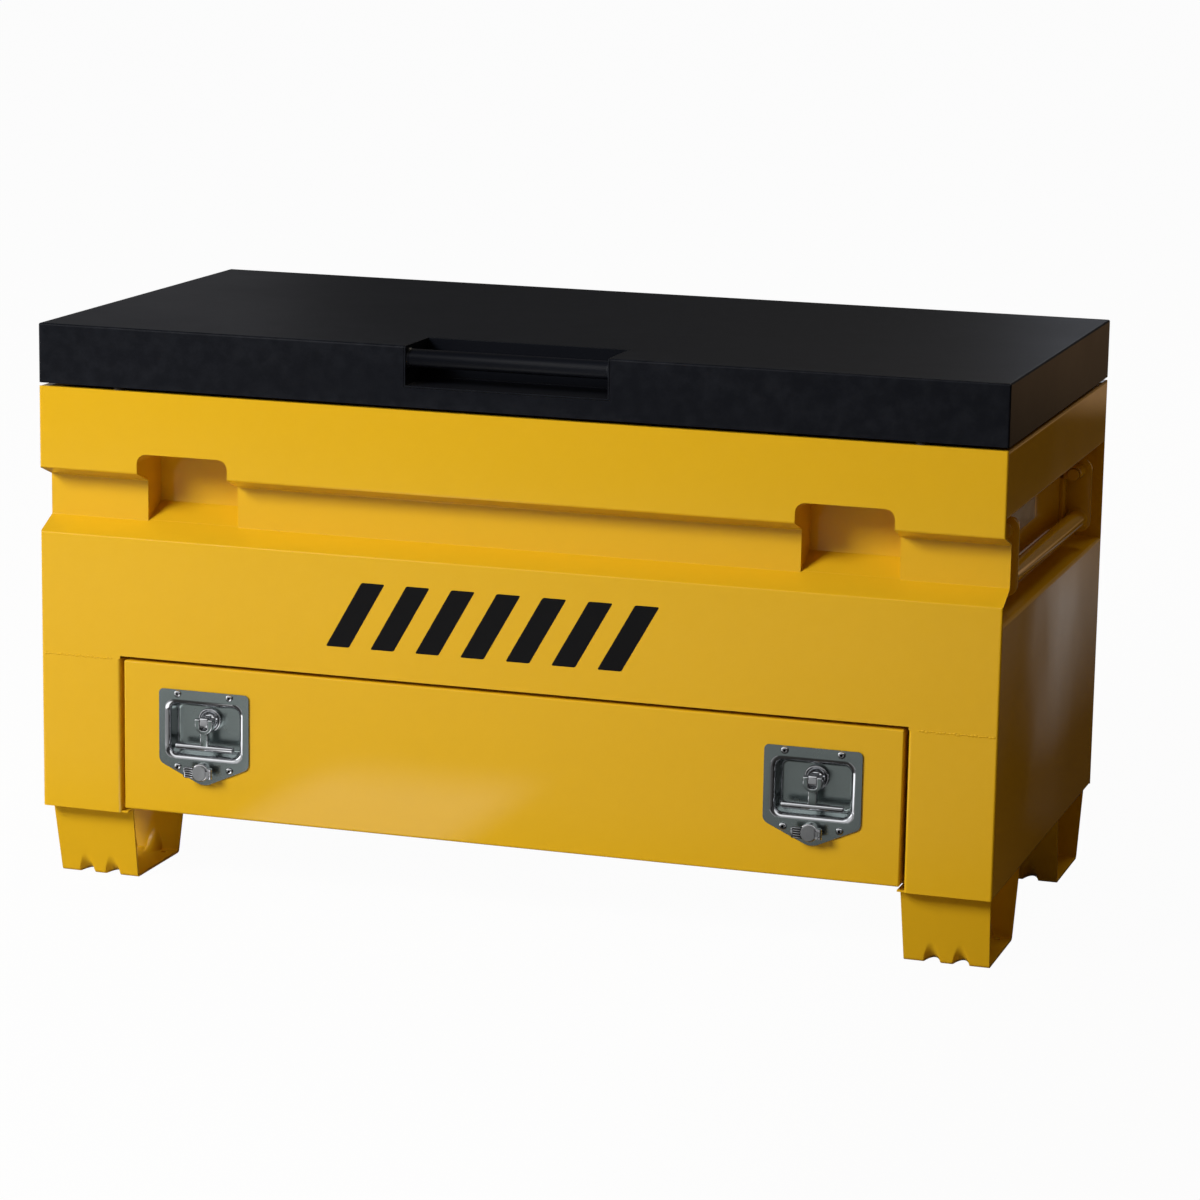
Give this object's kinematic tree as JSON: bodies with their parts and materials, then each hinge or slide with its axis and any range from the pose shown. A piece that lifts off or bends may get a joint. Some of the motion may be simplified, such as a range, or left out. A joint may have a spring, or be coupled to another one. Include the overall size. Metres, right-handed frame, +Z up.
{
  "type": "jobsite storage box",
  "caption": "Steel site chest with a gas-strut lid over an open compartment, a locking drawer below, padlock pockets, side drop handles and channel legs.",
  "frame": {"origin": "on the floor under the middle of the box's outer extent, which runs from the dust covers to the hinge barrel", "axes": "+X to the right as one faces the front, +Y from the front to the back, +Z up"},
  "size_m": [1.219, 0.6274, 0.705],
  "materials": {
    "yellow_paint": "semi-gloss golden-yellow powder coat",
    "black_paint": "satin black powder coat",
    "stainless_steel": "satin polished stainless steel",
    "zinc_steel": "bright zinc plate",
    "rubber": "matt black rubber"
  },
  "bodies": {
    "root": {"front_panel": "yellow_paint", "back_panel": "yellow_paint", "chest_floor": "yellow_paint", "base_pan": "yellow_paint", "body_hinge_leaf": "zinc_steel", "hinge_pin": "zinc_steel", "left_side_panel": "yellow_paint", "left_front_post": "yellow_paint", "left_lock_pocket": "yellow_paint", "left_lid_bumper": "rubber", "left_strut_wall_bracket": "zinc_steel", "left_front_leg": "yellow_paint", "left_rear_leg": "yellow_paint", "left_front_handle_pivot": "yellow_paint", "left_rear_handle_pivot": "yellow_paint", "left_slide_channel": "zinc_steel", "right_side_panel": "yellow_paint", "right_front_post": "yellow_paint", "right_lock_pocket": "yellow_paint", "right_lid_bumper": "rubber", "right_strut_wall_bracket": "zinc_steel", "right_front_leg": "yellow_paint", "right_rear_leg": "yellow_paint", "right_front_handle_pivot": "yellow_paint", "right_rear_handle_pivot": "yellow_paint", "right_slide_channel": "zinc_steel"},
    "lid": {"lid_shell": "black_paint", "lid_handle_pan": "black_paint", "lid_handle_bar": "black_paint", "lid_stiffener": "black_paint", "lid_hinge_leaf": "zinc_steel", "left_lock_lug": "black_paint", "left_strut_lid_bracket": "black_paint", "right_lock_lug": "black_paint", "right_strut_lid_bracket": "black_paint"},
    "drawer": {"drawer_front": "yellow_paint", "drawer_tray": "yellow_paint", "left_slide_rail": "zinc_steel", "left_latch_dish": "stainless_steel", "left_lock_barrel": "stainless_steel", "right_slide_rail": "zinc_steel", "right_latch_dish": "stainless_steel", "right_lock_barrel": "stainless_steel"},
    "left_strut_cylinder": {"left_strut_cylinder": "black_paint"},
    "left_strut_rod": {"left_strut_rod": "zinc_steel"},
    "left_side_handle": {"left_handle_grip": "yellow_paint", "left_front_handle_arm": "yellow_paint", "left_rear_handle_arm": "yellow_paint"},
    "left_latch": {"left_latch_spindle": "stainless_steel"},
    "left_latch_handle": {"left_t_handle": "stainless_steel"},
    "left_dust_cover": {"left_dust_cover": "stainless_steel"},
    "right_strut_cylinder": {"right_strut_cylinder": "black_paint"},
    "right_strut_rod": {"right_strut_rod": "zinc_steel"},
    "right_side_handle": {"right_handle_grip": "yellow_paint", "right_front_handle_arm": "yellow_paint", "right_rear_handle_arm": "yellow_paint"},
    "right_latch": {"right_latch_spindle": "stainless_steel"},
    "right_latch_handle": {"right_t_handle": "stainless_steel"},
    "right_dust_cover": {"right_dust_cover": "stainless_steel"}
  },
  "joints": [
    {"name": "lid_hinge", "type": "hinge", "parent": "root", "child": "lid", "pos_m": [0, 0.30915, 0.629], "axis": [-1, 0, 0], "range_deg": [0, 90]},
    {"name": "drawer_slide", "type": "slide", "parent": "root", "child": "drawer", "axis": [0, -1, 0], "range_m": [0, 0.4]},
    {"name": "left_strut_swing", "type": "hinge", "parent": "root", "child": "left_strut_cylinder", "pos_m": [-0.557, 0.15915, 0.494], "axis": [-1, 0, 0], "range_deg": [0, 17.05]},
    {"name": "left_strut_stroke", "type": "slide", "parent": "left_strut_cylinder", "child": "left_strut_rod", "axis": [0, 0.3905, 0.9206], "range_m": [0, 0.1017]},
    {"name": "left_side_handle_swing", "type": "hinge", "parent": "root", "child": "left_side_handle", "pos_m": [-0.5921, 0.00465, 0.521], "axis": [0, 1, 0], "range_deg": [0, 90]},
    {"name": "left_latch_turn", "type": "hinge", "parent": "drawer", "child": "left_latch", "pos_m": [-0.3895, -0.29335, 0.2185], "axis": [0, -1, 0], "range_deg": [0, 90]},
    {"name": "left_latch_handle_fold", "type": "hinge", "parent": "left_latch", "child": "left_latch_handle", "pos_m": [-0.3895, -0.29335, 0.2185], "axis": [-1, 0, 0], "range_deg": [0, 90]},
    {"name": "left_dust_cover_swing", "type": "hinge", "parent": "drawer", "child": "left_dust_cover", "pos_m": [-0.3755, -0.31055, 0.158], "axis": [0, 0, 1], "range_deg": [0, 100], "stiffness_Nm_per_rad": 0.004, "springref_deg": -22.92},
    {"name": "right_strut_swing", "type": "hinge", "parent": "root", "child": "right_strut_cylinder", "pos_m": [0.557, 0.15915, 0.494], "axis": [-1, 0, 0], "range_deg": [0, 17.05]},
    {"name": "right_strut_stroke", "type": "slide", "parent": "right_strut_cylinder", "child": "right_strut_rod", "axis": [0, 0.3905, 0.9206], "range_m": [0, 0.1017]},
    {"name": "right_side_handle_swing", "type": "hinge", "parent": "root", "child": "right_side_handle", "pos_m": [0.5921, 0.00465, 0.521], "axis": [0, -1, 0], "range_deg": [0, 90]},
    {"name": "right_latch_turn", "type": "hinge", "parent": "drawer", "child": "right_latch", "pos_m": [0.3895, -0.29335, 0.2185], "axis": [0, 1, 0], "range_deg": [0, 90]},
    {"name": "right_latch_handle_fold", "type": "hinge", "parent": "right_latch", "child": "right_latch_handle", "pos_m": [0.3895, -0.29335, 0.2185], "axis": [-1, 0, 0], "range_deg": [0, 90]},
    {"name": "right_dust_cover_swing", "type": "hinge", "parent": "drawer", "child": "right_dust_cover", "pos_m": [0.4035, -0.31055, 0.158], "axis": [0, 0, 1], "range_deg": [0, 100], "stiffness_Nm_per_rad": 0.004, "springref_deg": -22.92}
  ],
  "couplings": [
    {"joint": "left_strut_swing", "follows": "lid_hinge", "ratio": 0.18831},
    {"joint": "left_strut_stroke", "follows": "lid_hinge", "m_per_rad": 0.064405},
    {"joint": "left_latch_turn", "follows": "left_latch_handle_fold", "ratio": 1},
    {"joint": "right_strut_swing", "follows": "lid_hinge", "ratio": 0.18831},
    {"joint": "right_strut_stroke", "follows": "lid_hinge", "m_per_rad": 0.064405},
    {"joint": "right_latch_turn", "follows": "right_latch_handle_fold", "ratio": 1}
  ]
}
